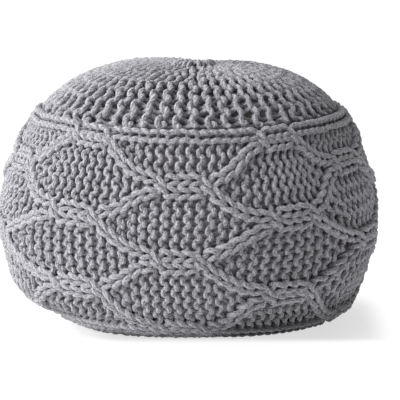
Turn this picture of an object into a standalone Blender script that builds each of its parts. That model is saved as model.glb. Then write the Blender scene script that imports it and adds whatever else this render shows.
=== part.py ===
"""Knitted pouf: one filled body, wider than it is high, drawn together at the crown.

A real one is a bag hand-knitted in thick cotton cord and filled until it stands by itself.
The knitting makes the cover in one piece, so the whole pouf is one solid here, and its
surface is where the cord reaches outwards. The body is a profile turned about +Z, with a
flat foot and a full belt. On it stand the parts of the knitting that are proud of the rest:
a ring around the crown and one around the underside, a trellis of cable ropes between them,
and a puckered gather at the pole. Metres, +Z up, origin at the centre of the foot.
"""
import math

import bmesh
import bpy
import numpy as np

# Driving sizes in metres. The width is across the ropes, where the side doesn't bulge.
OVERALL_WIDTH = 0.510
OVERALL_HEIGHT = 0.356
BELT_HEIGHT = 0.168
FOOT_RADIUS = 0.110

# Fullness of each half of the side: the exponent on the height, then the one on the radius.
# 2 and 2 would be an ellipse, and larger numbers are fuller.
UPPER_FULLNESS = (1.60, 3.60)
LOWER_FULLNESS = (3.50, 1.84)

# How far the upper and the lower ring are from the pole, measured along the surface.
RING_RUNS = (0.2325, 0.4985)
RING_RISE = 0.0030
RING_HALF_WIDTH = 0.014

# The trellis: ropes cross on this many columns around the body, and the crossings lie on
# this many steps from one ring to the other. Neighbouring columns are half a mesh apart.
COLUMNS = 10
STEPS = 5
ROPE_RISE = 0.0045
ROPE_HALF_WIDTH = 0.012
CROSSING_BEARING = -91.5

# The gather at the pole: a shallow pit inside a puckered lip.
PIT_RADIUS = 0.016
PIT_DEPTH = 0.008
LIP_RADIUS = 0.030
LIP_HALF_WIDTH = 0.015
LIP_RISE = 0.0005
PUCKER_RISE = 0.0020

# A hand-filled bag is never quite round: lobes around the side, the bearing of the first
# lobe in degrees, and how far it swells, in metres.
LOBES_BEARING_SWELL = (
    (2, 20.0, 0.0012),
    (3, 140.0, 0.0010),
    (5, 75.0, 0.0006),
)

# Where the filling has settled it pushes the side out, and elsewhere the side falls in: how
# far, at which bearing in degrees, at what height, and how far that reaches up and down.
BULGES = (
    (0.0085, 180.0, 0.145, 0.085),
    (0.0130, 0.0, 0.025, 0.018),
    (0.0270, -10.0, 0.0, 0.014),
    (-0.0140, 180.0, 0.025, 0.012),
    (-0.0115, -160.0, 0.036, 0.009),
    (0.0050, 180.0, 0.058, 0.020),
    (0.0140, -145.0, 0.0, 0.009),
    (-0.0200, -95.0, 0.0, 0.012),
)

# The gather pulls the pole a little to the other side: how far, and how far from the pole
# that is still felt.
POLE_SHIFT = 0.0055
POLE_SHIFT_REACH = 0.080

# Facets: one flat step around the body for each course of knitting, and stations up its side.
COURSES_PER_COLUMN = 10
SECTORS = COURSES_PER_COLUMN * COLUMNS
STATIONS = 46
PROFILE_SAMPLES = 2000

CORD_GREY = (0.36, 0.36, 0.38, 1.0)
CORD_ROUGHNESS = 0.9
SHARP_ANGLE = math.radians(60.0)


def clear_scene():
    """Removes whatever the file opened with."""
    for old in list(bpy.data.objects):
        bpy.data.objects.remove(old, do_unlink=True)


def upper_side(turn):
    """Radius and height from the belt (turn 0) to the pole (turn a quarter circle).

    A superellipse quarter: height share = sin(turn)^(2/p), radius share = cos(turn)^(2/q).
    """
    height_power, radius_power = UPPER_FULLNESS
    rise = OVERALL_HEIGHT - BELT_HEIGHT
    height = BELT_HEIGHT + rise * np.sin(turn) ** (2.0 / height_power)
    radius = (OVERALL_WIDTH / 2.0 - ROPE_RISE) * np.cos(turn) ** (2.0 / radius_power)
    return radius, height


def lower_side(turn):
    """Radius and height from the edge of the foot (turn 0) to the belt (a quarter circle).

    The same kind of quarter, standing on the flat foot instead of closing at a point.
    """
    height_power, radius_power = LOWER_FULLNESS
    spread = OVERALL_WIDTH / 2.0 - ROPE_RISE - FOOT_RADIUS
    height = BELT_HEIGHT * (1.0 - np.cos(turn) ** (2.0 / height_power))
    radius = FOOT_RADIUS + spread * np.sin(turn) ** (2.0 / radius_power)
    return radius, height


def turned_profile():
    """Stations spaced evenly along the side, from the foot's edge to just short of the pole.

    Returns each station's radius, height, outward slant (its normal's radius and height
    parts) and run, which is its distance from the pole along the surface.
    """
    turn = np.linspace(0.0, math.pi / 2.0, PROFILE_SAMPLES)
    lower_radius, lower_height = lower_side(turn)
    upper_radius, upper_height = upper_side(turn)
    radius = np.concatenate([lower_radius, upper_radius[1:]])
    height = np.concatenate([lower_height, upper_height[1:]])
    run = np.concatenate([[0.0], np.cumsum(np.hypot(np.diff(radius), np.diff(height)))])
    stations = np.linspace(0.0, run[-1], STATIONS + 1)
    radius = np.interp(stations, run, radius)
    height = np.interp(stations, run, height)
    along = np.hypot(np.gradient(radius), np.gradient(height))
    slant = (np.gradient(height) / along, -np.gradient(radius) / along)
    to_pole = run[-1] - stations
    return [values[:-1, None] for values in (radius, height, slant[0], slant[1], to_pole)]


def bell(distance, half_width):
    """One at distance 0, falling smoothly to nothing a few half widths away."""
    return np.exp(-((distance / half_width) ** 2))


def trellis_rise(bearing, to_pole, radius):
    """How far the ropes and rings stand out at each point.

    The columns and steps make a grid of whole numbers on the side. Ropes are the diagonals
    on which column + step, or column - step, is odd. The distance to the nearest diagonal
    is the share of a mesh that is left over, times the mesh's real size across that diagonal.
    """
    upper_run, lower_run = RING_RUNS
    step_length = (lower_run - upper_run) / STEPS
    column_width = 2.0 * math.pi * radius / COLUMNS
    column = (bearing - math.radians(CROSSING_BEARING)) * COLUMNS / (2.0 * math.pi)
    step = (to_pole - upper_run) / step_length
    across = column_width * step_length / np.hypot(column_width, step_length)
    ropes = np.zeros(np.broadcast(bearing, to_pole).shape)
    for lean in (1.0, -1.0):
        mesh = (column + lean * step - 1.0) / 2.0
        distance = np.abs(mesh - np.round(mesh)) * 2.0 * across
        ropes = np.maximum(ropes, bell(distance, ROPE_HALF_WIDTH))
    between_rings = (to_pole >= upper_run) & (to_pole <= lower_run)
    rings = np.maximum(
        bell(to_pole - upper_run, RING_HALF_WIDTH), bell(to_pole - lower_run, RING_HALF_WIDTH)
    )
    return np.maximum(ROPE_RISE * ropes * between_rings, RING_RISE * rings)


def settled_bulges(bearing, height):
    """How far the filling pushes the side out, or lets it fall in: the sum of all the bulges.

    One bulge is out x cos(bearing from its middle)^3 x a bell in height.
    """
    pushed = 0.0
    for out, middle, level, reach in BULGES:
        towards = np.clip(np.cos(bearing - math.radians(middle)), 0.0, 1.0) ** 3
        pushed = pushed + out * towards * bell(height - level, reach)
    return pushed


def gather_rise(bearing, radius):
    """The pit at the pole and the puckered lip around it, as a change of height."""
    pucker = LIP_RISE + PUCKER_RISE * np.cos(COLUMNS * bearing)
    return bell(radius - LIP_RADIUS, LIP_HALF_WIDTH) * pucker - PIT_DEPTH * bell(radius, PIT_RADIUS)


def body_points():
    """The body's rings of points, from the foot's edge up, and the run from foot to pole."""
    radius, height, slant_out, slant_up, to_pole = turned_profile()
    bearing = np.linspace(0.0, 2.0 * math.pi, SECTORS, endpoint=False)[None, :]
    proud = trellis_rise(bearing, to_pole, radius)
    swell = sum(
        rise * np.cos(lobes * (bearing - math.radians(first)))
        for lobes, first, rise in LOBES_BEARING_SWELL
    )
    clear_of_foot = np.clip(height / RING_HALF_WIDTH, 0.0, 1.0)
    out = radius + clear_of_foot * proud * slant_out
    out = out + swell * np.sin(math.pi * height / OVERALL_HEIGHT)
    out = out + settled_bulges(bearing, height)
    up = height + clear_of_foot * proud * slant_up
    up = up + gather_rise(bearing, radius) * (height > BELT_HEIGHT)
    sideways = POLE_SHIFT * bell(to_pole, POLE_SHIFT_REACH)
    print(f"from the centre of the foot to the pole: {to_pole.max() + FOOT_RADIUS:.3f} m")
    return np.stack([out * np.cos(bearing) + sideways, out * np.sin(bearing), up], axis=-1)


def add_fan(mesh, corners, centre):
    """Closes a ring of vertices with triangles that meet at one vertex."""
    for corner, following in zip(corners, corners[1:] + corners[:1]):
        mesh.faces.new((corner, following, centre))


def build_body():
    """One closed mesh: the rings of points bridged, then the foot and the pole closed."""
    mesh = bmesh.new()
    rings = [[mesh.verts.new(point) for point in ring] for ring in body_points()]
    for below, above in zip(rings, rings[1:]):
        corners = zip(below, below[1:] + below[:1], above[1:] + above[:1], above)
        for quad in corners:
            mesh.faces.new(quad)
    foot_centre = mesh.verts.new((0.0, 0.0, 0.0))
    pole = mesh.verts.new((POLE_SHIFT, 0.0, OVERALL_HEIGHT - PIT_DEPTH))
    add_fan(mesh, rings[0][::-1], foot_centre)
    add_fan(mesh, rings[-1], pole)
    return mesh


def cord_material():
    """Matte grey cotton cord."""
    material = bpy.data.materials.new("cotton_cord")
    material.use_nodes = True
    shader = material.node_tree.nodes["Principled BSDF"]
    shader.inputs["Base Color"].default_value = CORD_GREY
    shader.inputs["Roughness"].default_value = CORD_ROUGHNESS
    shader.inputs["Metallic"].default_value = 0.0
    return material


def add_pouf():
    """Adds the finished pouf to the scene."""
    data = bpy.data.meshes.new("knitted_pouf")
    body = build_body()
    body.to_mesh(data)
    body.free()
    data.shade_smooth()
    data.set_sharp_from_angle(angle=SHARP_ANGLE)
    data.materials.append(cord_material())
    pouf = bpy.data.objects.new("knitted_pouf", data)
    bpy.context.scene.collection.objects.link(pouf)


clear_scene()
add_pouf()
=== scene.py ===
# %% [markdown]
# # A knitted pouf, yarn by yarn
# The pouf is a bag knitted by hand in thick grey cotton cord, sideways: the courses run up
# and down its side, and the fabric grows round the body. Its side is reverse stockinette
# with single-stitch ropes that travel and cross as a trellis. A ring of knit stitches closes
# the side above and below, and beyond each ring the fabric is a looser net that is drawn
# together at the pole.
#
# A photograph of cloth could be faked with a bump map, but here the openings between the
# cords are as deep as the cords are thick, and they make the look. So every cord is modelled:
# its centre line is worked out from the shape of a knitted loop, and a tube follows it.

# %% Load the frame
import math

import bpy
import numpy as np
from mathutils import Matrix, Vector


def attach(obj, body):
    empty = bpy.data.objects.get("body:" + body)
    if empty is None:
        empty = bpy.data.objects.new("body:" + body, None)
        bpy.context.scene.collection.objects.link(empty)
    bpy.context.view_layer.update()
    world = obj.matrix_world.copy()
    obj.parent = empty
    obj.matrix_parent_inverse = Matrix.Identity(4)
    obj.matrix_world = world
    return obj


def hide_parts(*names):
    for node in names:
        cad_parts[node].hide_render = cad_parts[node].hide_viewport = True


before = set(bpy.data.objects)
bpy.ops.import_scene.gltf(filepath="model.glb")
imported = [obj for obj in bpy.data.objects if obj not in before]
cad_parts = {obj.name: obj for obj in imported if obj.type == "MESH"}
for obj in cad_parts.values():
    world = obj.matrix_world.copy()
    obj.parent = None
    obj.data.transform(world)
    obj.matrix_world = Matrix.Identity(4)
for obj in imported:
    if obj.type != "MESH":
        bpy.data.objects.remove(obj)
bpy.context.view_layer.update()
rng = np.random.default_rng(20)
TURN = 2.0 * math.pi

# %% [markdown]
# ## The body that the knitting covers
# The filled body is a profile turned about the upright axis: a flat foot, then two quarters
# of a superellipse, which is an ellipse with other exponents than 2. All knitting is placed
# by three numbers: its bearing round the axis, its run (the distance from the top pole along
# the surface) and how far out it stands.

# %% The profile
BODY_WIDTH = 0.501
BODY_HEIGHT = 0.356
BELT_HEIGHT = 0.168
FOOT_RADIUS = 0.110
UPPER_FULLNESS = (1.60, 3.60)
LOWER_FULLNESS = (3.50, 1.84)
LOBES_BEARING_SWELL = ((2, 20.0, 0.0012), (3, 140.0, 0.0010), (5, 75.0, 0.0006))
# The settled filling pushes the side out, and elsewhere the side falls in: how far, the
# bearing in degrees, the height, and how far that reaches up and down.
BULGES = (
    (0.0085, 180.0, 0.145, 0.085),
    (0.0130, 0.0, 0.025, 0.018),
    (0.0270, -10.0, 0.0, 0.014),
    (-0.0140, 180.0, 0.025, 0.012),
    (-0.0115, -160.0, 0.036, 0.009),
    (0.0050, 180.0, 0.058, 0.020),
    (0.0140, -145.0, 0.0, 0.009),
    (-0.0200, -95.0, 0.0, 0.012),
)
# Soft dents and swellings of the crown: the place, its two radii, and the rise. Metres.
CROWN_DENTS = (
    (0.028, 0.090, 0.036, 0.060, -0.0038),
    (0.007, 0.060, 0.009, 0.060, -0.0016),
    (-0.075, 0.060, 0.045, 0.080, 0.0022),
)
# The heights between which those dents set in.
CROWN_STARTS = (0.24, 0.30)
# The gather pulls the pole aside: how far, and how far from the pole that is still felt.
POLE_SHIFT = 0.0055
POLE_SHIFT_REACH = 0.080
PROFILE_SAMPLES = 3000
FOOT_SAMPLES = 375


def body_profile():
    """Radius, height and outward slant at each run, from the top pole to the foot's centre.

    Upper quarter: height share = sin(turn)^(2/p) and radius share = cos(turn)^(2/q).
    Lower quarter: the same curves, standing on the edge of the foot.
    """
    turn = np.linspace(0.0, math.pi / 2.0, PROFILE_SAMPLES)
    p, q = UPPER_FULLNESS
    upper_radius = BODY_WIDTH / 2.0 * np.cos(turn) ** (2.0 / q)
    upper_height = BELT_HEIGHT + (BODY_HEIGHT - BELT_HEIGHT) * np.sin(turn) ** (2.0 / p)
    p, q = LOWER_FULLNESS
    spread = BODY_WIDTH / 2.0 - FOOT_RADIUS
    lower_radius = FOOT_RADIUS + spread * np.sin(turn) ** (2.0 / q)
    lower_height = BELT_HEIGHT * (1.0 - np.cos(turn) ** (2.0 / p))
    foot_radius = np.linspace(FOOT_RADIUS, 0.0, FOOT_SAMPLES)[1:]
    radius = np.concatenate([upper_radius[::-1], lower_radius[::-1][1:], foot_radius])
    height = np.concatenate([upper_height[::-1], lower_height[::-1][1:], 0.0 * foot_radius])
    run = np.concatenate([[0.0], np.cumsum(np.hypot(np.diff(radius), np.diff(height)))])
    even = np.linspace(0.0, run[-1], PROFILE_SAMPLES)
    radius, height = np.interp(even, run, radius), np.interp(even, run, height)
    along = np.hypot(np.gradient(radius), np.gradient(height))
    return even, radius, height, -np.gradient(height) / along, np.gradient(radius) / along


PROFILE_RUN, *PROFILE = body_profile()
TOTAL_RUN = PROFILE_RUN[-1]
print(f"top pole to the centre of the foot along the surface: {TOTAL_RUN:.3f} m")


def mix(low, high, share):
    """The value that is this share of the way from low to high."""
    return low + (high - low) * share


def smooth_step(share):
    """0 below 0, 1 above 1 and an even S between: 3 x^2 - 2 x^3."""
    share = np.clip(share, 0.0, 1.0)
    return share * share * (3.0 - 2.0 * share)


def on_body(bearing, run, out):
    """Points and outward directions at a bearing, a run and a distance out from the body.

    point = profile(run) + out x slant(run), turned to the bearing, with the body's lobes and
    bulges added, and the pole moved a little to one side, where the gather pulls it. A bulge is
    out x cos(bearing from its middle)^3 x exp(-(height from its middle / reach)^2), and fades
    under the foot; a dent of the crown is rise x exp(-(x / its radius)^2 - (y / its radius)^2).
    """
    radius, height, slant_out, slant_up = (np.interp(run, PROFILE_RUN, part) for part in PROFILE)
    swell = sum(
        rise * np.cos(lobes * (bearing - math.radians(first)))
        for lobes, first, rise in LOBES_BEARING_SWELL
    )
    reach = radius + out * slant_out + swell * np.sin(math.pi * height / BODY_HEIGHT)
    for bulge_out, middle, level, spread in BULGES:
        towards = np.clip(np.cos(bearing - math.radians(middle)), 0.0, 1.0) ** 3
        bulge = bulge_out * towards * np.exp(-(((height - level) / spread) ** 2))
        reach = reach + bulge * smooth_step((TOTAL_RUN - run) / FOOT_RADIUS)
    x = reach * np.cos(bearing) + POLE_SHIFT * np.exp(-((run / POLE_SHIFT_REACH) ** 2))
    y = reach * np.sin(bearing)
    z = height + out * slant_up
    crown = smooth_step((height - CROWN_STARTS[0]) / (CROWN_STARTS[1] - CROWN_STARTS[0]))
    for at_x, at_y, radius_x, radius_y, rise in CROWN_DENTS:
        away = ((x - at_x) / radius_x) ** 2 + ((y - at_y) / radius_y) ** 2
        z = z + rise * crown * np.exp(-away)
    facing = (slant_out * np.cos(bearing), slant_out * np.sin(bearing), slant_up)
    return [np.stack(np.broadcast_arrays(*part), axis=-1) for part in ((x, y, z), facing)]


# %% [markdown]
# ## One knitted loop
# Seen from the front, a loop is an omega: it starts between two stitches (the sinker), climbs
# as a leg, turns over at the head and comes down again. On the purl side the head and the
# sinkers lie in front and the legs behind; on the knit side it is the other way round. A few
# sines and cosines give all of this, and because the next course is the same curve one course
# further on, the loops pass through each other by themselves.

# %% The loop's formula
# The cord's radius, how far a loop weaves out of the fabric's middle, and how many times
# deeper its parts behind the fabric go.
CORD_RADIUS = 0.00315
LOOP_DEPTH = 0.0030
BEHIND = 1.9
FABRIC_INSET = CORD_RADIUS + LOOP_DEPTH
# Points along one stitch, and the loop's phase at each of them.
SAMPLES = 18
PHASES = -math.pi + TURN * np.arange(SAMPLES) / SAMPLES


def course_lines(base, head, base_gaps, head_gaps, moved, pace, face, lift, shape, width, free):
    """The centre lines of whole courses, one row of stitches each.

    With the phase from -pi to pi in each stitch, and shape = (bulge, spread, reach, depth):
    across = place + own width x (phase / 2 pi + bulge x sin(2 phase) + spread x sin(phase));
    ahead = reach x cos(phase), in courses;
    out = face x depth x cos(2 phase) + lift, in metres, and what is behind goes deeper.
    The place and the gap to the neighbour slide from their values at the loop's base to
    those at its head, within the course where the stitch changes places. A loop has its own
    width, or its gap's if that is less and it isn't free, and its sinker spans the rest of the
    gap. At a sinker, out is the mean of the two stitches that share it.
    """
    bulge, spread, reach, depth = (part[..., None] for part in shape)
    phase = PHASES[None, None, :]
    ahead = reach * np.cos(phase)
    climb = 0.5 + ahead * pace[..., None]
    climb = np.where(moved[..., None], np.clip(climb, 0.0, 1.0), climb)
    late = phase >= 0.0
    near_sinker = smooth_step(np.abs(phase) / (math.pi / 2.0) - 1.0)
    before, after = (mix(low[..., None], high[..., None], climb)
                     for low, high in zip(base_gaps, head_gaps))
    gap = np.where(late, after, before)
    own = np.where(free[..., None], width[..., None], np.minimum(gap, width[..., None]))
    share = phase / TURN + bulge * np.sin(2.0 * phase) + spread * np.sin(phase)
    span = np.where(late, 0.5, -0.5) * (gap - own) * near_sinker
    across = mix(base[..., None], head[..., None], climb) + own * share + span
    weave = face[..., None] * np.cos(2.0 * phase)
    out = depth * np.where(weave < 0.0, BEHIND * weave, weave) + lift[..., None]
    rest = depth[..., 0] * np.where(face < 0.0, BEHIND * face, face) + lift
    step = np.diff(rest, axis=1) / 2.0
    pull_before = -np.pad(step, ((0, 0), (1, 0)))[..., None]
    pull_after = np.pad(step, ((0, 0), (0, 1)))[..., None]
    out = out + near_sinker * np.where(late, pull_after, pull_before)
    rows = len(base)
    return across.reshape(rows, -1), ahead.reshape(rows, -1), out.reshape(rows, -1)


# %% [markdown]
# ## From a line to a cord
# A tube with eight sides follows each line. Its rings are turned to the line's direction,
# with the body's outward direction as up, so they never spin. The UV map runs along the cord
# in metres and once around it, which is what the strands in the material follow.

# %% Tubes
def add_object(name, data):
    """Puts new data into the scene."""
    added = bpy.data.objects.new(name, data)
    bpy.context.scene.collection.objects.link(added)
    return added


SIDES = 8
# How uneven the cord is, as a share of its radius: at each point of its surface, and along
# it at so many knots in each stitch, of which a line stops just short of the last.
LUMP_JITTER = 0.05
THICKNESS_JITTER = 0.055
LUMPS_PER_STITCH = 3
SHORT_OF_END = 1.001


def cord_radii(shape, radius=CORD_RADIUS):
    """The cord's radius along each line: a few per cent thicker here and thinner there."""
    count, length = shape
    knots = rng.normal(1.0, THICKNESS_JITTER, (count, LUMPS_PER_STITCH * length // SAMPLES + 2))
    at = np.linspace(0.0, knots.shape[1] - SHORT_OF_END, length)
    low = np.floor(at).astype(int)
    return radius * mix(knots[:, low], knots[:, low + 1], smooth_step(at - low))


def new_mesh(name, vertices, quads, triangles, uv_name, uv):
    """A smooth mesh of quads, then triangles, with a map that lists its UVs by corner."""
    mesh = bpy.data.meshes.new(name)
    mesh.vertices.add(len(vertices))
    mesh.vertices.foreach_set("co", vertices.astype(np.float32).ravel())
    corners = np.concatenate([quads.ravel(), triangles.ravel()]).astype(np.int32)
    mesh.loops.add(len(corners))
    mesh.loops.foreach_set("vertex_index", corners)
    sizes = np.repeat([4, 3], [len(quads), len(triangles)])
    mesh.polygons.add(len(sizes))
    starts = np.concatenate([[0], np.cumsum(sizes)[:-1]]).astype(np.int32)
    mesh.polygons.foreach_set("loop_start", starts)
    mesh.uv_layers.new(name=uv_name).data.foreach_set("uv", uv.astype(np.float32).ravel())
    mesh.update(calc_edges=True)
    mesh.shade_smooth()
    return mesh


def tube_mesh(name, lines, ups, outs, radius):
    """One mesh of closed tubes along many lines of equally many points.

    ring point = line point + radius x (cos(a) x up' + sin(a) x side'), for a in equal steps,
    where side' = direction x up and up' = side' x direction, both of length one. How far out
    each vertex stands from the body is kept as the attribute "stands_out", in metres.
    """
    count, length, _ = lines.shape
    direction = np.gradient(lines, axis=1)
    direction /= np.linalg.norm(direction, axis=2, keepdims=True)
    side = np.cross(direction, ups)
    side /= np.linalg.norm(side, axis=2, keepdims=True)
    up = np.cross(side, direction)
    angle = TURN * np.arange(SIDES) / SIDES
    ring = up[:, :, None] * np.cos(angle)[:, None] + side[:, :, None] * np.sin(angle)[:, None]
    lumps = rng.normal(1.0, LUMP_JITTER, (count, length, SIDES, 1))
    points = lines[:, :, None] + ring * radius[:, :, None, None] * lumps
    stands_out = outs[:, :, None] + radius[:, :, None] * np.einsum("csak,csk->csa", ring, ups)
    end_out = np.stack([outs[:, 0], outs[:, -1]], axis=1)
    stands_out = np.concatenate([stands_out.ravel(), end_out.ravel()])
    ends = np.stack([lines[:, 0], lines[:, -1]], axis=1)
    vertices = np.concatenate([points.reshape(-1, 3), ends.reshape(-1, 3)])
    vertices[:, 2] = np.maximum(vertices[:, 2], 0.0)

    at = np.arange(count * length * SIDES).reshape(count, length, SIDES)
    turned = np.roll(at, -1, axis=2)
    quads = np.stack([at[:, :-1], at[:, 1:], turned[:, 1:], turned[:, :-1]], axis=-1)
    caps = count * length * SIDES + np.arange(count * 2).reshape(count, 2, 1)
    first = np.stack([at[:, 0], turned[:, 0], caps[:, 0] + 0 * at[:, 0]], axis=-1)
    last = np.stack([turned[:, -1], at[:, -1], caps[:, 1] + 0 * at[:, -1]], axis=-1)
    triangles = np.concatenate([first.reshape(-1, 3), last.reshape(-1, 3)])
    quads = quads.reshape(-1, 4)

    travelled = np.linalg.norm(np.diff(lines, axis=1), axis=2)
    travelled = np.pad(np.cumsum(travelled, axis=1), ((0, 0), (1, 0)))
    start = travelled[:, :-1, None] + np.zeros(SIDES)
    stop = travelled[:, 1:, None] + np.zeros(SIDES)
    low = np.arange(SIDES) / SIDES + 0.0 * start
    high = low + 1.0 / SIDES
    corners = [(start, low), (stop, low), (stop, high), (start, high)]
    quad_uv = np.stack([np.stack(corner, axis=-1) for corner in corners], axis=-2)
    uv = np.concatenate([quad_uv.reshape(-1, 2), np.zeros((triangles.size, 2))])

    mesh = new_mesh(name, vertices, quads, triangles, "along_cord", uv)
    mesh.attributes.new("stands_out", "FLOAT", "POINT")
    mesh.attributes["stands_out"].data.foreach_set("value", stands_out.astype(np.float32))
    print(f"{name}: {count} cords, {travelled[:, -1].sum():.1f} m, "
          f"{2 * len(quads) + len(triangles)} triangles")
    return add_object(name, mesh)


# %% [markdown]
# ## The chart of the side
# A knitter would follow a chart of 17 stitches. Seven are knit stitches, the ropes, and ten
# are purl stitches, the ground. The outer two ropes are the rings and stay where they are.
# The other five wander: over ten courses each moves two places to meet one neighbour, runs
# beside it, and then moves back to meet the other. Where two ropes run side by side they
# change places at both ends of that stretch, which makes the crossings.

# %% The chart
WALES = 17
ROPES = 7
REPEAT = 20
REPEATS_AROUND = 5
COURSES = REPEAT * REPEATS_AROUND
# Where each rope lies at its two meetings, in stitches down the side.
SLOTS_AT_FIRST_MEETING = np.array([-0.5, 2.5, 3.5, 8.5, 9.5, 14.5, 15.5])
SLOTS_AT_SECOND_MEETING = np.array([-0.5, 0.5, 5.5, 6.5, 11.5, 12.5, 15.5])
# In courses: the middle of the first meeting, half its length, and how far from its middle
# the ropes cross, give or take a tolerance.
MEETING_CENTRE = 0.5
HALF_MEETING = 2.5
HALF_CROSS = 2.0
CROSS_TOLERANCE = 0.25


def rope_travel(boundary):
    """How far each rope is from its first meeting (0) to its second (1).

    A rope that climbs to the right lies level beside both meetings: its way is an even S.
    One that falls leaves its upper meeting at once and lies level before the lower one: its
    way is a parabola. Ropes 1, 3 and 5 fall in one half of the repeat, 2 and 4 in the other.
    """
    offset = (boundary - MEETING_CENTRE + REPEAT / 2.0) % REPEAT - REPEAT / 2.0
    share = (abs(offset) - HALF_MEETING) / (REPEAT / 2.0 - 2.0 * HALF_MEETING)
    share = min(max(share, 0.0), 1.0)
    odd_rope = np.arange(ROPES) % 2 == 1
    if offset > 0.0:
        return np.where(odd_rope, share ** 2, smooth_step(share))
    return np.where(odd_rope, smooth_step(share), share * (2.0 - share))


def chart_row(boundary):
    """Which stitch holds each of the 17 places at the boundary before a course.

    Ropes 0 to 6 take the places that their slots fall on. The ground stitches 7 to 16 take
    the places left over, in order.
    """
    slots = mix(SLOTS_AT_FIRST_MEETING, SLOTS_AT_SECOND_MEETING, rope_travel(boundary))
    holder = np.full(WALES, -1)
    holder[np.floor(slots + 1.0).astype(int)] = np.arange(ROPES)
    holder[holder < 0] = np.arange(ROPES, WALES)
    return holder


def swapped(course):
    """The rope that each rope gives its place to in a course: itself, or its neighbour."""
    partner = np.arange(WALES)
    for centre, first_rope in ((MEETING_CENTRE, 1), (MEETING_CENTRE + REPEAT / 2.0, 0)):
        offset = (course + 0.5 - centre + REPEAT / 2.0) % REPEAT - REPEAT / 2.0
        if abs(abs(offset) - HALF_CROSS) < CROSS_TOLERANCE:
            for rope in range(first_rope, ROPES - 1, 2):
                partner[[rope, rope + 1]] = [rope + 1, rope]
    return partner


HOLDER = np.array([chart_row(boundary) for boundary in range(REPEAT + 1)])
PLACE_OF = np.argsort(HOLDER, axis=1)
GOES_TO = np.array([
    PLACE_OF[course + 1][swapped(course)[HOLDER[course]]] for course in range(REPEAT)
])
print("ropes at the first and second meeting", SLOTS_AT_FIRST_MEETING, SLOTS_AT_SECOND_MEETING)

# %% [markdown]
# ## Laying the chart on the body
# One full repeat is 20 courses, and five of them go round. A filled bag never stretches
# evenly, so each meeting of two ropes is nudged from its even place: those in front one by
# one, to where they really lie, and the rest at random. Everything between follows smoothly.

# %% Nudges
# The front meeting's bearing, degrees from course to course, the run of the top place, and
# metres from stitch to stitch.
MEETING_BEARING = -91.5
COURSE_DEGREES = 360.0 / COURSES
TOP_MEETING_RUN = 0.2357
WALE_PITCH = 0.01701
# How far a nudge is felt: courses round the body, stitches down it.
NUDGE_REACH = (9.0, 5.0)
# Column of meetings (0 in front, + to the right), place down the side in stitches, and how
# far that meeting is moved: degrees round the body, metres down it.
NUDGES = (
    (0, -0.5, 0.0, 0.005),
    (0, 3.0, 0.2, 0.0123),
    (0, 9.0, -1.5, 0.0070),
    (1, 0.0, -1.7, 0.0035),
    (1, 6.0, -1.0, 0.0069),
    (1, 12.0, -2.0, 0.0048),
    (-1, 0.0, 1.5, 0.001),
    (-1, 6.0, 1.5, 0.0029),
    (-1, 12.0, 1.5, -0.0032),
    (2, -0.5, -4.0, 0.003),
    (2, 3.0, -8.7, -0.0020),
    (2, 9.0, 3.5, 0.0059),
    (-2, -0.5, 2.0, 0.0),
    (-2, 3.0, 4.3, -0.0020),
    (-2, 9.0, -6.0, -0.0021),
)
# The lower ring has slipped down everywhere, and furthest on the right.
LOWER_RING_DROP = 0.010
RIGHT_RING_DROP = 0.021
RIGHT_COLUMNS = (1, 2, 3)
LOWER_RING_PLACE = 15.0
# Columns that the front doesn't show, the places of meetings in even and odd columns, and
# how far they stray: degrees, metres.
HIDDEN_COLUMNS = (3, 4, 5, 6, 7)
EVEN_PLACES = (3.0, 9.0)
ODD_PLACES = (0.0, 6.0, 12.0)
HIDDEN_NUDGE = (1.0, 0.003)


def all_nudges():
    """The listed nudges, and random ones for the columns that the front doesn't show."""
    rows = [list(nudge) for nudge in NUDGES]
    for column in HIDDEN_COLUMNS:
        for place in EVEN_PLACES if column % 2 == 0 else ODD_PLACES:
            turn, down = rng.normal(0.0, 1.0, 2) * HIDDEN_NUDGE
            rows.append([column, place, turn, down])
    for column in range(2 * REPEATS_AROUND):
        drop = RIGHT_RING_DROP if column in RIGHT_COLUMNS else LOWER_RING_DROP
        rows.append([column, LOWER_RING_PLACE + 0.5 * (column % 2), 0.0, drop])
    return np.array(rows)


NUDGE_TABLE = all_nudges()
print(f"{len(NUDGE_TABLE)} nudges, of up to {abs(NUDGE_TABLE[:, 2]).max():.1f} degrees")


def nearness(courses_round, slot, column, place):
    """exp(-distance^2) from places in the chart to one meeting, going round the body."""
    centre = MEETING_CENTRE - column * REPEAT / 2.0
    away = (courses_round - centre + COURSES / 2.0) % COURSES - COURSES / 2.0
    return np.exp(-((away / NUDGE_REACH[0]) ** 2) - ((slot - place) / NUDGE_REACH[1]) ** 2)


def nudge_weights():
    """How much of each meeting's bell makes the sum of all bells pass through every nudge."""
    column, place = NUDGE_TABLE[:, 0], NUDGE_TABLE[:, 1]
    courses_round = MEETING_CENTRE - column * REPEAT / 2.0
    bells = nearness(courses_round[:, None], place[:, None], column[None, :], place[None, :])
    return np.linalg.solve(bells, NUDGE_TABLE[:, 2:])


NUDGE_WEIGHTS = nudge_weights()


def nudge(courses_round, slot):
    """Degrees round and metres down at a place in the chart: the sum of all the bells."""
    bells = nearness(
        np.asarray(courses_round)[..., None], np.asarray(slot)[..., None],
        NUDGE_TABLE[:, 0], NUDGE_TABLE[:, 1],
    )
    return bells @ NUDGE_WEIGHTS


# %% [markdown]
# The ropes are laid first. Two ropes that meet keep close together however much the fabric
# around them is stretched, so both are moved by the nudge of their meeting. The ground
# stitches then share the room between two ropes evenly.

# %% Ropes, then the ground between them
# How much of its distance from a meeting a rope keeps, and where each rope's meetings are.
ROPE_CLOSENESS = 0.94
MEETING_ABOVE = np.array([-0.5, 3.0, 3.0, 9.0, 9.0, 15.0, 15.0])
MEETING_BELOW = np.array([0.0, 0.0, 6.0, 6.0, 12.0, 12.0, 15.5])


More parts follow.
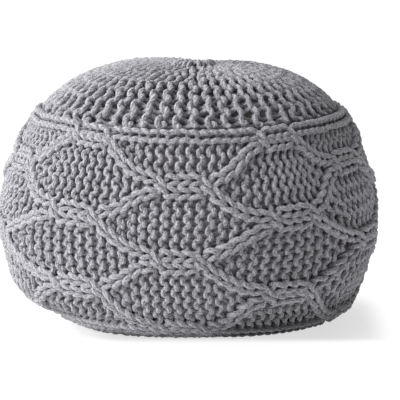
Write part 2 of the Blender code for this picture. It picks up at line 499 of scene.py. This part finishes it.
def stitch_runs():
    """The run of each of the 17 places at the boundaries before all 100 courses."""
    runs = np.empty((COURSES, WALES))
    for boundary in range(COURSES):
        travel = rope_travel(boundary)
        slots = mix(SLOTS_AT_FIRST_MEETING, SLOTS_AT_SECOND_MEETING, travel)
        meeting = mix(MEETING_ABOVE, MEETING_BELOW, travel)
        slots = mix(meeting, slots, ROPE_CLOSENESS)
        down = nudge(boundary, meeting)[:, 1]
        rope_runs = TOP_MEETING_RUN + WALE_PITCH * slots + down
        rope_places = PLACE_OF[boundary % REPEAT][:ROPES]
        runs[boundary] = np.interp(np.arange(WALES), rope_places, rope_runs)
    return runs


def lay_on_side(courses_round, run):
    """Bearing of a place: first bearing - course x 3.6 degrees, nudged round the body."""
    slot = (run - TOP_MEETING_RUN) / WALE_PITCH
    bearing = MEETING_BEARING - COURSE_DEGREES * (courses_round - MEETING_CENTRE)
    return np.radians(bearing + nudge(courses_round, slot)[..., 0])


# %% [markdown]
# ## Knitting the side
# Rope stitches stand out by more than half a cord, open towards the side that the fabric
# grows to, and lean where their rope travels. At a crossing the stitch that goes up to the
# left lies on top. A ground stitch that a rope passes goes under it.

# %% The side
# How far ropes stand out, the stitches over and under at a crossing, and passed ground.
ROPE_LIFT = 0.0045
OVER_LIFT = 0.0014
UNDER_LIFT = -0.0024
PASSED_LIFT = -0.0015
# Of a ground, a rope, a crossing and a ring stitch: bulge and spread as shares of its width,
# reach in courses, the pace at which it changes places, and how many times the usual its
# cord's thickness is, level and leaning.
BULGE_OF_KIND = np.array([0.185, 0.22, 0.20, 0.17])
SPREAD_OF_KIND = np.array([0.0, 0.03, 0.03, 0.125])
REACH_OF_KIND = np.array([0.70, 0.76, 0.69, 0.76])
PACE_OF_KIND = np.array([1.0, 1.0, 0.72, 1.0])
LEVEL_THICKNESS = np.array([1.04, 1.08, 1.08, 1.17])
LEANING_THICKNESS = np.array([1.04, 1.26, 1.26, 1.17])
# Metres: the width of a loop, and the length of a course where the body is widest.
GROUND_WIDTH = 0.0172
ROPE_WIDTH = 0.0163
COURSE_LENGTH = math.pi * BODY_WIDTH / COURSES
# How uneven the places are, in metres, and the loops' shapes, as a share.
PLACE_JITTER = 0.0006
SHAPE_JITTER = 0.06
# Near the floor the weight presses the stitches in: how far, and up to what height.
PRESSED_IN = 0.0045
PRESSED_HEIGHT = 0.022


def gaps(places):
    """The distance from each place to the one before it and to the one after it."""
    step = np.diff(places, axis=1)
    return [np.pad(step, ((0, 0), ends), mode="edge") for ends in ((1, 0), (0, 1))]


def swapped_courses(in_repeat):
    """True for the courses in which ropes cross."""
    return np.array([(swapped(course) != np.arange(WALES)).any() for course in in_repeat])


def side_lines():
    """Points, outward directions, how far out and how thick, for all 100 courses of the side."""
    course = np.arange(COURSES)
    in_repeat = course % REPEAT
    place = stitch_runs()
    place = place + rng.normal(0.0, PLACE_JITTER, place.shape)
    place = np.concatenate([place, place[:1]])
    before, after = gaps(place)
    goes_to = GOES_TO[in_repeat]
    pick = np.arange(COURSES)[:, None] + 1, goes_to
    base, head = place[:-1], place[pick]
    rope = HOLDER[in_repeat] < ROPES
    rising = goes_to - np.arange(WALES)
    crossing = rope & (np.abs(rising) == 1) & swapped_courses(in_repeat)[:, None]
    lift = ROPE_LIFT * rope + OVER_LIFT * (crossing & (rising < 0))
    lift = lift + UNDER_LIFT * (crossing & (rising > 0)) + PASSED_LIFT * (~rope & (rising != 0))
    face = np.where(rope, -1.0, 1.0)
    loose = rng.normal(1.0, SHAPE_JITTER, base.shape)
    ring = ((HOLDER[in_repeat] == 0) | (HOLDER[in_repeat] == ROPES - 1)) & ~crossing
    kind = np.where(ring, 3, np.where(crossing, 2, rope.astype(int)))
    bulge = BULGE_OF_KIND[kind] * loose
    reach = REACH_OF_KIND[kind] * rng.normal(1.0, SHAPE_JITTER / 2.0, base.shape)
    slope = np.where(crossing, 0.0, (head - base) / COURSE_LENGTH)
    width = np.where(rope, ROPE_WIDTH * np.sqrt(1.0 + slope**2), GROUND_WIDTH)
    lean = np.clip(np.abs(slope), 0.0, 1.0)
    thickness = mix(LEVEL_THICKNESS[kind], LEANING_THICKNESS[kind], lean)
    shape = (bulge, SPREAD_OF_KIND[kind], reach, np.full(base.shape, LOOP_DEPTH))
    across, ahead, out = course_lines(
        base, head, (before[:-1], after[:-1]), (before[pick], after[pick]),
        rising != 0, PACE_OF_KIND[kind], face, lift, shape, width, rope,
    )
    bearing = lay_on_side(course[:, None] + 0.5 + ahead, across)
    height = np.interp(across, PROFILE_RUN, PROFILE[1])
    pressed = PRESSED_IN * (1.0 - smooth_step(height / PRESSED_HEIGHT))
    return *on_body(bearing, across, out - FABRIC_INSET - pressed), out, thickness


def smooth_along(values):
    """Each row averaged over half a stitch to either side, so that steps become slopes."""
    width = SAMPLES // 2
    padded = np.pad(values, ((0, 0), (width, width)), mode="edge")
    total = np.cumsum(np.pad(padded, ((0, 0), (1, 0))), axis=1)
    return (total[:, 2 * width + 1:] - total[:, :-2 * width - 1]) / (2 * width + 1)


side_points, side_ups, side_outs, side_thickness = side_lines()
side_radii = cord_radii(side_points.shape[:2])
side_radii = side_radii * smooth_along(np.repeat(side_thickness, SAMPLES, axis=1))
SIDE_PARTS = ((0, 33), (33, 66), (66, 100))
knit_pieces = []
for number, (first_course, end_course) in enumerate(SIDE_PARTS, start=1):
    part = slice(first_course, end_course)
    knit_pieces.append(tube_mesh(
        f"side_knit_{number}", side_points[part], side_ups[part], side_outs[part], side_radii[part]
    ))

# %% [markdown]
# ## The crown and the underside
# Beyond each ring the same stitch goes on, but bigger and opener, so that dark holes show
# between its columns. As the body closes towards the pole some columns stop early: these are
# short rows, and the columns beside them spread into their room.

# %% Net
NET_COLUMNS = 56
# The run at which each row lies, from just inside the ring to the gather.
NET_ROW_RUNS = (0.2180, 0.205, 0.179, 0.153, 0.127, 0.102, 0.078, 0.056, 0.038, 0.029)
NET_ROW_NUMBERS = (-0.5, 0.0, 1.0, 2.0, 3.0, 4.0, 5.0, 6.0, 7.0, 7.5)
# How many columns have this many rows; the rest are complete.
NET_SHORT_COLUMNS = ((4, 2), (5, 10), (6, 14), (7, 12))
NET_ROWS = 8
# The loop's bulge, reach in columns, width in rows, depth in metres and share of thickness.
NET_BULGE = 0.21
NET_REACH = 0.66
NET_WIDTH = 1.0
NET_DEPTH = 0.0036
NET_THICKNESS = 1.20
NET_INSET = NET_THICKNESS * CORD_RADIUS + NET_DEPTH
# The net's cord is fluffed up on the left and drawn thin on the right: by what share, and how
# far from the middle that is complete.
NET_FLUFFED = 0.12
NET_FLUFFED_REACH = 0.13
# How uneven its places (rows), its reach (a share) and its sway (columns) are.
NET_PLACE_JITTER = 0.05
NET_REACH_JITTER = 0.04
NET_SWAY = 0.07
# The floor presses the underside's net in, and it is smaller than the crown's.
UNDERSIDE_PRESSED = 0.0025
UNDERSIDE_SCALE = 0.955
GOLDEN = 0.618034
# A short column closes over this run, and this share of it lies past the column's end.
FADE = 0.050
FADE_BEYOND_END = 0.6
# The columns' bearings are worked out on a grid of this many runs, up to the first number,
# and these are where the first column begins.
GRID_RUNS = (0.25, 251)
CROWN_BEARING = -88.0
UNDERSIDE_BEARING = -60.0


def net_rows():
    """Rows of each column: the short ones are spread evenly by steps of the golden ratio."""
    rows = np.full(NET_COLUMNS, NET_ROWS)
    order = np.argsort((np.arange(NET_COLUMNS) * GOLDEN) % 1.0)
    taken = 0
    for length, count in NET_SHORT_COLUMNS:
        rows[order[taken:taken + count]] = length
        taken += count
    return rows


def net_bearings(rows):
    """A grid of runs, and at each the share of a full turn where each column begins.

    A column's weight is 1 as far as it is knitted and fades to nothing around its end.
    share = running sum of the weights / their total.
    """
    runs = np.linspace(0.0, *GRID_RUNS)
    ends = np.interp(rows - 0.5, NET_ROW_NUMBERS, NET_ROW_RUNS)
    weight = smooth_step((runs[:, None] - ends) / FADE + FADE_BEYOND_END)
    weight = np.where(rows == NET_ROWS, 1.0, weight)
    begins = np.pad(np.cumsum(weight, axis=1), ((0, 0), (1, 0)))
    return runs, begins / begins[:, -1:]


def net_lines(first_bearing):
    """Points of each group of equally long columns, as lists of (bearing, run, out)."""
    rows = net_rows()
    runs, begins = net_bearings(rows)
    groups = []
    for length in sorted(set(rows)):
        columns = np.flatnonzero(rows == length)
        shape = (len(columns), length)
        place = np.arange(length) + np.zeros((len(columns), 1))
        place = place + rng.normal(0.0, NET_PLACE_JITTER, shape)
        step = gaps(place)
        bulge = NET_BULGE * rng.normal(1.0, SHAPE_JITTER, shape)
        reach = NET_REACH * rng.normal(1.0, NET_REACH_JITTER, shape)
        none, ones, no = np.zeros(shape), np.ones(shape), np.zeros(shape, bool)
        across, ahead, out = course_lines(
            place, place, step, step, no, ones, ones, none,
            (bulge, none, reach, np.full(shape, NET_DEPTH)), np.full(shape, NET_WIDTH), no,
        )
        sway = rng.normal(0.0, NET_SWAY, shape)[:, :, None] + np.zeros(SAMPLES)
        ahead = ahead + smooth_along(sway.reshape(ahead.shape))
        run = np.interp(across, NET_ROW_NUMBERS, NET_ROW_RUNS)
        grid_at = run / (runs[1] - runs[0])
        low = np.clip(np.floor(grid_at).astype(int), 0, len(runs) - 2)
        edges = [mix(begins[low, side], begins[low + 1, side], grid_at - low)
                 for side in (columns[:, None], columns[:, None] + 1)]
        bearing = math.radians(first_bearing) - TURN * mix(*edges, 0.5 + ahead)
        groups.append((bearing, run, out))
    return groups


def resample(line, length):
    """The same lines with another number of points, evenly spread along each."""
    old = line.shape[1]
    at = np.linspace(0.0, old - 1.0, length)
    low = np.clip(np.floor(at).astype(int), 0, old - 2)
    return mix(line[:, low], line[:, low + 1], (at - low)[None, :, None])


def net_piece(name, first_bearing, upside_down):
    """The crown's net, or the underside's, which is the same net seen from the other pole."""
    groups = []
    for bearing, run, out in net_lines(first_bearing):
        if upside_down:
            run = TOTAL_RUN - UNDERSIDE_SCALE * run
            out = out - UNDERSIDE_PRESSED * smooth_step((TOTAL_RUN - run) / FOOT_RADIUS - 1.0)
        groups.append((*on_body(bearing, run, out - NET_INSET), out[..., None]))
    longest = max(lines.shape[1] for lines, _, _ in groups)
    lines, ups, outs = (
        np.concatenate([resample(part, longest) for part in parts]) for parts in zip(*groups)
    )
    fluffed = 1.0 - NET_FLUFFED * np.clip(lines[..., 0] / NET_FLUFFED_REACH, -1.0, 1.0)
    radii = cord_radii(lines.shape[:2], NET_THICKNESS * CORD_RADIUS) * fluffed
    return tube_mesh(name, lines, ups, outs[..., 0], radii)


knit_pieces.append(net_piece("crown_knit", CROWN_BEARING, False))
knit_pieces.append(net_piece("underside_knit", UNDERSIDE_BEARING, True))

# %% [markdown]
# ## The gather at the pole
# The last stitches of the net are threaded on one cord and drawn together. They stand up in
# a small ring of pleats, two cords to a pleat, and dive into the hole that is left.

# %% Gather
PLEATS = 10
GATHER_SAMPLES = 26
# Share of the way from the net to the hole, the run there, and how far out the cord stands.
GATHER_SHARES = (0.0, 0.2, 0.40, 0.55, 0.68, 0.84, 1.0)
GATHER_RUNS = (0.036, 0.032, 0.0275, 0.0225, 0.0170, 0.012, 0.008)
GATHER_OUTS = (-0.010, -0.004, 0.0030, 0.0065, 0.0060, -0.003, -0.018)
# How far the ring of pleats tilts, and how fast a cord rises into its pleat.
GATHER_TILT = 0.0030
RISE_PACE = 1.15
# In steps between pleats: a cord's distance from its pleat's middle, low and high, and how
# far pleats stray.
PLEAT_HALF = 0.25
PLEAT_LEAN = 0.20
PLEAT_STRAY = 0.08
# How uneven the cords' heights are, how far they wave, and the wave's phase and start.
PLEAT_LIFT = 0.0013
PLEAT_WAVE = 0.0011
WAVE_PHASE = 9.0
WAVE_STARTS = 6.0


def gather_piece(name, upside_down):
    """Radial cords in pairs: run and out follow the shares, and out is averaged over 3 points.

    rise = sin(pi x pace x share)^2; bearing = its pleat's bearing -+ its distance from the
    pleat's middle, which shrinks with the rise, plus a small wave.
    """
    share = np.linspace(0.0, 1.0, GATHER_SAMPLES)[None, :]
    cords = 2 * PLEATS
    pleat = np.arange(cords)[:, None] // 2
    side = np.where(np.arange(cords) % 2 == 0, -1.0, 1.0)[:, None]
    run = np.interp(share, GATHER_SHARES, GATHER_RUNS)
    rise = np.sin(math.pi * np.clip(share * RISE_PACE, 0.0, 1.0)) ** 2
    lifted = rng.normal(0.0, PLEAT_LIFT, (cords, 1)) * rise
    out = np.interp(share, GATHER_SHARES, GATHER_OUTS) + lifted
    out = out - GATHER_TILT * rise * np.sin(TURN * (pleat + 1.0) / PLEATS)
    smooth = (out[:, :-2] + out[:, 1:-1] + out[:, 2:]) / 3.0
    out = np.concatenate([out[:, :1], smooth, out[:, -1:]], axis=1)
    step = TURN / PLEATS
    stray = rng.normal(0.0, PLEAT_STRAY, (PLEATS, 1))[pleat[:, 0]]
    start = rng.uniform(0.0, WAVE_STARTS, (cords, 1))
    wave = PLEAT_WAVE * np.sin(WAVE_PHASE * share + start) / run
    apart = PLEAT_HALF - (PLEAT_HALF - PLEAT_LEAN) * rise
    bearing = step * (pleat + 1.0 + stray + side * apart) + wave
    if upside_down:
        run = TOTAL_RUN - run
        out = np.minimum(out, 0.0)
    lines, ups = on_body(bearing, run + 0.0 * bearing, out - FABRIC_INSET)
    return tube_mesh(name, lines, ups, out + 0.0 * bearing, cord_radii(lines.shape[:2]))


knit_pieces.append(gather_piece("crown_gather", False))
knit_pieces.append(gather_piece("underside_gather", True))

# %% [markdown]
# ## The bag inside
# Through the openings shows the smooth cloth bag that holds the filling. It is the same
# body, a little smaller, and swells into the room that the knitting leaves.

# %% Inner bag
# The run, and how far inside the knitting's outer surface the bag lies there. It swells out
# where it stands on the floor.
BAG_RUNS = (0.0, 0.190, 0.220, 0.522, 0.557, 0.592, 0.612, 0.722)
BAG_INSETS = (0.0200, 0.0200, 0.0104, 0.0104, 0.0020, 0.0020, 0.0045, 0.0045)
BAG_SECTORS = 160
BAG_RINGS = 90


def inner_bag():
    """A closed turned surface: the body's profile, moved inwards along its slant."""
    bearing = np.linspace(0.0, TURN, BAG_SECTORS, endpoint=False)[None, :]
    run = np.linspace(0.0, TOTAL_RUN, BAG_RINGS + 1)[1:-1, None]
    points, _ = on_body(bearing, run, -np.interp(run, BAG_RUNS, BAG_INSETS))
    poles = [[0.0, 0.0, BODY_HEIGHT - BAG_INSETS[0]], [0.0, 0.0, BAG_INSETS[-1]]]
    vertices = np.concatenate([points.reshape(-1, 3), poles])
    at = np.arange((BAG_RINGS - 1) * BAG_SECTORS).reshape(BAG_RINGS - 1, BAG_SECTORS)
    turned = np.roll(at, -1, axis=1)
    quads = np.stack([at[:-1], at[1:], turned[1:], turned[:-1]], axis=-1).reshape(-1, 4)
    upper = np.stack([at[0], turned[0], np.full(BAG_SECTORS, at.size)], axis=-1)
    lower = np.stack([turned[-1], at[-1], np.full(BAG_SECTORS, at.size + 1)], axis=-1)
    triangles = np.concatenate([upper, lower])
    flat_run = np.append((run + 0.0 * bearing).ravel(), [0.0, TOTAL_RUN])
    flat_bearing = np.append((bearing + 0.0 * run).ravel(), [0.0, 0.0])
    corner = np.concatenate([quads.ravel(), triangles.ravel()])
    uv = np.stack([flat_bearing[corner] * BODY_WIDTH / 2.0, flat_run[corner]], axis=-1)
    print(f"inner_bag: {2 * len(quads) + len(triangles)} triangles")
    return add_object("inner_bag", new_mesh("inner_bag", vertices, quads, triangles, "on_bag", uv))


bag = inner_bag()

# %% [markdown]
# ## A small language for materials
# A material is a graph of nodes. Written in Python it reads like the formula it is: a wrapped
# socket can be added and multiplied, and each operation leaves one Math node behind.

# %% Sockets as numbers
class Wire:
    """An output socket. Arithmetic on it adds Math nodes to the same tree."""

    def __init__(self, graph, socket):
        """Keeps the socket and the graph that it belongs to."""
        self.graph = graph
        self.socket = socket

    def math(self, operation, *values):
        """Any operation of the Math node, on values or sockets."""
        return self.graph.node("ShaderNodeMath", {"operation": operation}, values)

    def __add__(self, other):
        return self.math("ADD", self, other)

    def __sub__(self, other):
        return self.math("SUBTRACT", self, other)

    def __rsub__(self, other):
        return self.math("SUBTRACT", other, self)

    def __mul__(self, other):
        return self.math("MULTIPLY", self, other)

    def __truediv__(self, other):
        return self.math("DIVIDE", self, other)

    __radd__ = __add__
    __rmul__ = __mul__

    def sin(self):
        """The sine of an angle in radians."""
        return self.math("SINE", self)

    def cos(self):
        """The cosine of an angle in radians."""
        return self.math("COSINE", self)

    def between(self, low, high):
        """0 at low, 1 at high, an even S between and held beyond."""
        settings = {"interpolation_type": "SMOOTHSTEP"}
        return self.graph.node("ShaderNodeMapRange", settings, {0: self, 1: low, 2: high})


class Graph:
    """A new material, and one method that adds any node to it."""

    def __init__(self, name):
        """Starts from a Principled BSDF."""
        self.material = bpy.data.materials.new(name)
        self.material.use_nodes = True
        self.nodes = self.material.node_tree.nodes
        self.shader = self.nodes["Principled BSDF"]

    def link(self, socket, value):
        """Connects a wire to an input, or sets a constant on it."""
        if isinstance(value, Wire):
            self.material.node_tree.links.new(value.socket, socket)
        else:
            socket.default_value = value

    def node(self, kind, settings=None, values=(), output=0):
        """Adds a node: its settings first, then its inputs, and returns one output."""
        added = self.nodes.new(kind)
        for name, value in (settings or {}).items():
            setattr(added, name, value)
        pairs = values.items() if isinstance(values, dict) else enumerate(values)
        for name, value in pairs:
            self.link(added.inputs[name], value)
        return Wire(self, added.outputs[output])

    def vector(self, x, y, z):
        """One vector from three numbers."""
        return self.node("ShaderNodeCombineXYZ", values=(x, y, z))

    def split(self, vector):
        """Three numbers from one vector."""
        added = self.node("ShaderNodeSeparateXYZ", values=(vector,)).socket.node
        return [Wire(self, socket) for socket in added.outputs]

    def noise(self, place, scale, detail=2.0, roughness=0.5):
        """Smooth random values from 0 to 1, with this many lumps to a metre."""
        values = {"Vector": place, "Scale": scale, "Detail": detail, "Roughness": roughness}
        return self.node("ShaderNodeTexNoise", {"noise_dimensions": "3D"}, values)

    def blend(self, share, low, high):
        """A colour that is this share of the way from low to high."""
        values = {0: share, 6: low, 7: high}
        return self.node("ShaderNodeMix", {"data_type": "RGBA"}, values, output=2)

    def bump(self, height, strength, distance, **below):
        """A normal tilted by a height whose 1 is this many metres, on top of a Normal below."""
        values = {"Height": height, "Strength": strength, "Distance": distance, **below}
        return self.node("ShaderNodeBump", values=values)

    def finish(self, **inputs):
        """Feeds the shader's inputs by name, and returns the material."""
        for name, value in inputs.items():
            self.link(self.shader.inputs[name.replace("_", " ").title()], value)
        return self.material


# %% [markdown]
# ## Cotton cord
# Up close the cord is a bundle of soft strands with a slow twist, and each strand is a bundle
# of fibres. Both follow the cord, so both are drawn on its own map: metres along and once
# around. The bright tops of the strands are in the colour as well as in the bump, because a
# soft strand hides light between its fibres. Cord that lies deep in the fabric, and the inward
# side of each cord, is painted greyer and darker: painted shade where little light reaches.

# %% Cord finish
ROUGHNESS = 0.9
STRANDS = 5
TWIST_LENGTH = 0.055
STRAND_DEPTH = 0.0006
FIBRE_DEPTH = 0.0010
# Noise makes the strands wander by some radians.
WANDER_SCALE = 60.0
WANDER_TURN = 5.0
# Fibres are drawn on a tube of this radius that is shortened to this share along the cord.
MAP_RADIUS = 0.0032
MAP_ALONG = 0.16
FIBRE_SCALE = 520.0
FLECK_SCALE = 430.0
PATCH_SCALE = 14.0
# How much strand, fibre, fleck and patch count in the cord's tone, and what is taken off.
TONE_WEIGHTS = (0.40, 1.9, 4.2, 0.35)
TONE_LEVEL = 2.68
SHEEN = 0.40
SHEEN_ROUGHNESS = 0.5
SPECULAR = 0.05
CORD_LIGHT = (0.415, 0.412, 0.440, 1.0)
CORD_DARK = (0.169, 0.166, 0.190, 1.0)
# Painted shade: greyer, darker cord deep in the fabric, and how far out it stands where that
# begins and ends.
PAINTED_SHADE_DEEP_CORD = (0.217, 0.206, 0.237, 1.0)
PAINTED_SHADE_OUTS = (-0.0095, -0.0005)
# Painted shade on the cord by the floor: a dark band at the bottom, and a shade that fades out
# higher up, both more on the right, away from the lamps. Each fades out between two heights
# and grows between two sides, the higher shade from its first share to its second.
CONTACT_SHADE_COLOR = (0.030, 0.028, 0.033, 1.0)
CONTACT_SHADE_HEIGHTS = (0.0228, 0.0290)
CONTACT_SHADE_SIDE = (-0.17, -0.08)
LOW_SHADE_HEIGHTS = (0.024, 0.078)
LOW_SHADE_SIDE = (-0.09, 0.12)
LOW_SHADE_SHARES = (0.16, 0.78)


def cord_material():
    """Strands: 0.5 + 0.5 sin(strands x (one turn round - one in a twist's length)), and noise."""
    graph = Graph("cotton_cord_finish")
    along, around, _ = graph.split(graph.node("ShaderNodeUVMap", {"uv_map": "along_cord"}))
    body = graph.node("ShaderNodeTexCoord", output="Object")
    turn = (around - along / TWIST_LENGTH) * TURN
    wander = graph.noise(body, WANDER_SCALE, 1.0) - 0.5
    strand = (turn * STRANDS + wander * WANDER_TURN).sin() * 0.5 + 0.5
    round_cord = graph.vector(turn.cos() * MAP_RADIUS, turn.sin() * MAP_RADIUS, along * MAP_ALONG)
    shifted = graph.node("ShaderNodeVectorMath", {"operation": "ADD"}, (round_cord, body))
    fibre = graph.noise(shifted, FIBRE_SCALE, 2.0, 0.6)
    fleck = graph.noise(body, FLECK_SCALE, 1.0)
    patch = graph.noise(body, PATCH_SCALE, 2.0)
    by_strand, by_fibre, by_fleck, by_patch = TONE_WEIGHTS
    tone = strand * by_strand + fibre * by_fibre + fleck * by_fleck + patch * by_patch - TONE_LEVEL
    depth = graph.node("ShaderNodeAttribute", {"attribute_name": "stands_out"}, output="Fac")
    color = graph.blend(tone, CORD_DARK, CORD_LIGHT)
    # Painted shade: cord that stands far in, and the inward side of each cord, turns greyer and
    # darker.
    color = graph.blend(depth.between(*PAINTED_SHADE_OUTS), PAINTED_SHADE_DEEP_CORD, color)
    right, _, height = graph.split(body)
    # Painted shade by the floor, more on the right, away from the lamps.
    low_shade = right.between(*LOW_SHADE_SIDE) * (LOW_SHADE_SHARES[1] - LOW_SHADE_SHARES[0]) + LOW_SHADE_SHARES[0]
    low_shade = (1.0 - height.between(*LOW_SHADE_HEIGHTS)) * low_shade
    contact_shade = (1.0 - height.between(*CONTACT_SHADE_HEIGHTS)) * right.between(*CONTACT_SHADE_SIDE)
    color = graph.blend(low_shade.math("MAXIMUM", low_shade, contact_shade), color, CONTACT_SHADE_COLOR)
    strand_bump = graph.bump(strand, 1.0, STRAND_DEPTH)
    fibre_bump = graph.bump(fibre + fleck, 1.0, FIBRE_DEPTH, Normal=strand_bump)
    graph.shader.inputs["Sheen Weight"].default_value = SHEEN
    graph.shader.inputs["Sheen Roughness"].default_value = SHEEN_ROUGHNESS
    graph.shader.inputs["Specular IOR Level"].default_value = SPECULAR
    return graph.finish(base_color=color, roughness=ROUGHNESS, normal=fibre_bump)


cord_finish = cord_material()
for piece in knit_pieces:
    piece.data.materials.append(cord_finish)

# %% [markdown]
# ## Bag cloth
# The bag is plain-woven cotton, a purplish grey. Its threads run round the bag and up it, on
# its own map in metres, and each crossing is a small pillow.

# %% Bag finish
THREAD_PITCH = 0.0011
BAG_LIGHT = (0.46, 0.405, 0.435, 1.0)
BAG_DARK = (0.34, 0.295, 0.32, 1.0)
# How much weave and dye count in its tone, and how deep the weave is.
BAG_TONE_WEIGHTS = (0.4, 0.6)
DYE_SCALE = 220.0
WEAVE_STRENGTH = 0.6
WEAVE_DEPTH = 0.0003


def bag_material():
    """Plain weave: sin(across) x sin(up), each thread 1.1 mm wide, with uneven dye."""
    graph = Graph("bag_cloth_finish")
    across, up, _ = graph.split(graph.node("ShaderNodeUVMap", {"uv_map": "on_bag"}))
    body = graph.node("ShaderNodeTexCoord", output="Object")
    turns = TURN / (2.0 * THREAD_PITCH)
    weave = (across * turns).sin() * (up * turns).sin() * 0.5 + 0.5
    uneven = graph.noise(body, DYE_SCALE, 2.0)
    by_weave, by_dye = BAG_TONE_WEIGHTS
    color = graph.blend(weave * by_weave + uneven * by_dye, BAG_DARK, BAG_LIGHT)
    # Painted shade: the bag is painted dark near the floor, as the cord is.
    color = graph.blend(graph.split(body)[2].between(*CONTACT_SHADE_HEIGHTS), CONTACT_SHADE_COLOR, color)
    pillows = graph.bump(weave, WEAVE_STRENGTH, WEAVE_DEPTH)
    return graph.finish(base_color=color, roughness=ROUGHNESS, normal=pillows)


bag.data.materials.append(bag_material())

# %% [markdown]
# ## What each piece is
# All knitting is one cotton cord and rides with the body. The bag, which is soft and holds
# the filling, rides with it too, and takes the place in the picture of the filled solid, which is
# hidden.

# %% Declare
for piece in knit_pieces:
    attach(piece, "root")
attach(bag, "root")
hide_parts("knitted_pouf")

# %% [markdown]
# ## The studio
# The pouf stands on a white sweep that glows by itself: painted light that keeps it white and
# sets where the pouf's shadow shows. Most light comes from large soft lamps on the left, and a
# long lens looks down a little.

# %% Floor, light, camera
VIEW_ELEVATION = 10.0
VIEW_DISTANCE = 3.57
VIEW_CENTRE = (0.0, 0.0, BODY_HEIGHT / 2.0)
VIEW_RIGHT = 0.0141
VIEW_DOWN = 0.0106
LENS = 236.0
SENSOR_WIDTH = 36.0
# How much the floor reflects and glows round the pouf, and where it glows more and reflects less:
# painted light that ends the pouf's shadow.
FLOOR_WHITE = 0.55
FLOOR_GLOW = 0.66
LIT_WHITE = 0.10
LIT_GLOW = 0.98
# The glow sets in round the foot; the shadow ends far out, in front and on the right.
SHADE_CENTRE = (0.045, 0.035, 0.0)
GLOW_STARTS = (0.105, 0.145)
SHADOW_ENDS_AROUND = (0.7, 1.1)
SHADOW_ENDS_IN_FRONT = (0.105, 0.145)
SHADOW_ENDS_ON_THE_RIGHT = (0.235, 0.280)
WORLD_STRENGTH = 0.155
# Name, place, size and power in watts. All lamps face one point.
LAMPS = (
    ("key_left", (-3.0, -1.15, 1.2), 3.0, 119.0),
    ("high_left", (-2.6, -1.8, 2.4), 2.0, 74.0),
    ("back_left", (-2.4, 2.0, 1.8), 1.2, 66.0),
    ("overhead", (0.0, 0.0, 3.2), 2.0, 24.0),
)
LAMP_TARGET = (0.0, 0.0, 0.17)


def grey(value):
    """A colour with equal parts of red, green and blue."""
    return (value, value, value, 1.0)


def add_floor():
    """A white plane that gives off light itself, as a lit studio sweep does.

    In front of the pouf, beyond it on the right and far from it all round it gives more and
    reflects less, so the shadow ends there. Under the pouf, where nothing sees it, it gives none.
    """
    bpy.ops.mesh.primitive_plane_add(size=60.0)
    floor = bpy.context.object
    floor.name = "floor"
    graph = Graph("floor_finish")
    graph.shader.inputs["Emission Strength"].default_value = 1.0
    ground = graph.node("ShaderNodeTexCoord", output="Object")
    away = graph.node("ShaderNodeVectorMath", {"operation": "DISTANCE"}, (ground, SHADE_CENTRE),
                      output="Value")
    right, back, _ = graph.split(ground)
    in_front = (back * -1.0).between(*SHADOW_ENDS_IN_FRONT)
    lit = in_front.math("MAXIMUM", in_front, right.between(*SHADOW_ENDS_ON_THE_RIGHT))
    lit = lit.math("MAXIMUM", lit, away.between(*SHADOW_ENDS_AROUND))
    glow = graph.blend(lit, grey(FLOOR_GLOW), grey(LIT_GLOW))
    glow = graph.blend(away.between(*GLOW_STARTS), grey(0.0), glow)
    white = graph.blend(lit, grey(FLOOR_WHITE), grey(LIT_WHITE))
    floor.data.materials.append(
        graph.finish(base_color=white, roughness=ROUGHNESS, emission_color=glow)
    )


def add_lamp(name, position, size, power):
    """A round area light that faces the lamps' common point."""
    light = bpy.data.lights.new(name, "AREA")
    light.shape = "DISK"
    light.size = size
    light.energy = power
    lamp = add_object(name, light)
    lamp.location = position
    aim = Vector(LAMP_TARGET) - Vector(position)
    lamp.rotation_euler = aim.to_track_quat("-Z", "Y").to_euler()


def add_camera():
    """A long lens that looks down by the view's elevation.

    place = centre + distance x back - down x up + right, seen from the camera.
    """
    data = bpy.data.cameras.new("camera")
    data.lens = LENS
    data.sensor_width = SENSOR_WIDTH
    camera = add_object("camera", data)
    tilt = math.radians(VIEW_ELEVATION)
    up = np.array([0.0, math.sin(tilt), math.cos(tilt)])
    back = np.array([0.0, -math.cos(tilt), math.sin(tilt)])
    place = np.array(VIEW_CENTRE) + VIEW_DISTANCE * back - VIEW_DOWN * up
    place[0] += VIEW_RIGHT
    camera.location = place
    camera.rotation_euler = (math.pi / 2.0 - tilt, 0.0, 0.0)
    bpy.context.scene.camera = camera


add_floor()
for lamp in LAMPS:
    add_lamp(*lamp)
add_camera()
world = bpy.data.worlds.new("studio")
world.use_nodes = True
background = world.node_tree.nodes["Background"].inputs
background["Color"].default_value = grey(1.0)
background["Strength"].default_value = WORLD_STRENGTH
bpy.context.scene.world = world
bpy.context.scene.view_settings.view_transform = "Standard"
print(f"{len(LAMPS)} lamps, camera {VIEW_DISTANCE} m away")
